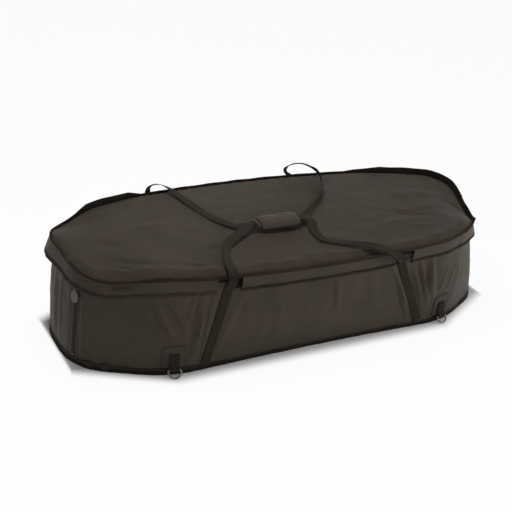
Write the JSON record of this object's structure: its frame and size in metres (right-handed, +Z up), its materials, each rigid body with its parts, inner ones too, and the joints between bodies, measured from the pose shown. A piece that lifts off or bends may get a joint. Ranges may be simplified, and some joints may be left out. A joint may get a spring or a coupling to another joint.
{
  "type": "unhooking mat",
  "caption": "Walled unhooking mat for coarse fish: a padded eight-sided tub with a soft lid, webbing carry loops joined by a padded wrap, a corner zip and pegging rings.",
  "frame": {"origin": "on the floor under the middle of the base", "axes": "+X along the mat towards its right end, -Y towards the front, +Z up"},
  "size_m": [1.252, 0.5304, 0.3044],
  "materials": {
    "shell_cloth": "woven",
    "base_cloth": "coated",
    "lining_cloth": "smooth coated",
    "foam": "closed-cell foam",
    "binding_tape": "ribbed tape",
    "webbing": "woven webbing",
    "hook_and_loop": "hook and loop",
    "ring_metal": "dark gunmetal",
    "zip_nylon": "moulded coil",
    "pull_rubber": "ribbed"
  },
  "bodies": {
    "tub": {"base_binding": "binding_tape", "base_sheet": "base_cloth", "floor_foam": "foam", "floor_lining": "lining_cloth", "inner_lining": "lining_cloth", "lid_hinge_strip": "binding_tape", "loop_strip": "hook_and_loop", "outer_skin": "shell_cloth", "rim_binding": "binding_tape", "ring_patch_back_left": "shell_cloth", "ring_patch_back_right": "shell_cloth", "ring_patch_front_left": "shell_cloth", "ring_patch_front_right": "shell_cloth", "ring_tab_back_left": "webbing", "ring_tab_back_right": "webbing", "ring_tab_front_left": "webbing", "ring_tab_front_right": "webbing", "strap_run_back_left": "webbing", "strap_run_back_right": "webbing", "strap_run_front_left": "webbing", "strap_run_front_right": "webbing", "wall_foam_back": "foam", "wall_foam_back_left": "foam", "wall_foam_back_right": "foam", "wall_foam_front": "foam", "wall_foam_front_left": "foam", "wall_foam_front_right": "foam", "wall_foam_left": "foam", "wall_foam_right": "foam", "zip_chain": "zip_nylon", "zip_stop_bottom": "ring_metal", "zip_stop_top": "ring_metal", "zip_tape": "binding_tape"},
    "lid": {"apron_back": "shell_cloth", "apron_front": "shell_cloth", "apron_left": "shell_cloth", "apron_right": "shell_cloth", "hem_binding_back": "binding_tape", "hem_binding_front": "binding_tape", "hem_binding_left": "binding_tape", "hem_binding_right": "binding_tape", "hook_strip": "hook_and_loop", "lid_binding": "binding_tape", "lid_panel": "shell_cloth"},
    "front_strap": {"front_strap_handle": "webbing", "front_strap_left": "webbing", "front_strap_right": "webbing", "handle_wrap": "shell_cloth"},
    "back_strap": {"back_strap_handle": "webbing", "back_strap_left": "webbing", "back_strap_right": "webbing"},
    "handle_flap": {"handle_flap": "shell_cloth"},
    "zip_slider": {"zip_slider": "ring_metal"},
    "zip_pull": {"zip_pull": "pull_rubber"},
    "d_ring_front_left": {"d_ring_front_left": "ring_metal"},
    "d_ring_front_right": {"d_ring_front_right": "ring_metal"},
    "d_ring_back_left": {"d_ring_back_left": "ring_metal"},
    "d_ring_back_right": {"d_ring_back_right": "ring_metal"}
  },
  "joints": [
    {"name": "lid_hinge", "type": "hinge", "parent": "tub", "child": "lid", "pos_m": [0, 0.24066, 0.2175], "axis": [-1, 0, 0], "range_deg": [0, 195]},
    {"name": "back_strap_swing", "type": "hinge", "parent": "tub", "child": "back_strap", "pos_m": [0, 0.24066, 0.2175], "axis": [-1, 0, 0], "range_deg": [0, 195], "deforming": ["back_strap_handle", "back_strap_left", "back_strap_right"]},
    {"name": "front_strap_swing", "type": "hinge", "parent": "tub", "child": "front_strap", "pos_m": [0, -0.2206, 0.214], "axis": [1, 0, 0], "range_deg": [0, 195], "deforming": ["front_strap_handle", "front_strap_left", "front_strap_right", "handle_wrap", "handle_flap"]},
    {"name": "handle_flap_hinge", "type": "hinge", "parent": "front_strap", "child": "handle_flap", "pos_m": [-0.0705, -0.02717, 0.2965], "axis": [-1, 0, 0], "range_deg": [0, 150]},
    {"name": "d_ring_front_left_hinge", "type": "hinge", "parent": "tub", "child": "d_ring_front_left", "pos_m": [-0.40342, -0.21155, 0.018], "axis": [-0.9859, 0.1673, 0], "range_deg": [0, 132]},
    {"name": "d_ring_front_right_hinge", "type": "hinge", "parent": "tub", "child": "d_ring_front_right", "pos_m": [0.40357, -0.2113, 0.018], "axis": [-0.9828, -0.1845, 0], "range_deg": [0, 132]},
    {"name": "d_ring_back_left_hinge", "type": "hinge", "parent": "tub", "child": "d_ring_back_left", "pos_m": [-0.40342, 0.21155, 0.018], "axis": [0.9859, 0.1673, 0], "range_deg": [0, 132]},
    {"name": "d_ring_back_right_hinge", "type": "hinge", "parent": "tub", "child": "d_ring_back_right", "pos_m": [0.40342, 0.21155, 0.018], "axis": [0.9859, -0.1673, 0], "range_deg": [0, 132]},
    {"name": "zip_slide", "type": "slide", "parent": "tub", "child": "zip_slider", "axis": [-0.0122, 0.0001, -0.9999], "range_m": [0, 0.1643]},
    {"name": "zip_pull_hinge", "type": "hinge", "parent": "zip_slider", "child": "zip_pull", "pos_m": [-0.61225, -0.08516, 0.20678], "axis": [-0.4034, 0.915, 0.005], "range_deg": [0, 100]}
  ],
  "couplings": [
    {"joint": "front_strap_swing", "follows": "lid_hinge", "ratio": 1},
    {"joint": "back_strap_swing", "follows": "lid_hinge", "ratio": 1}
  ]
}
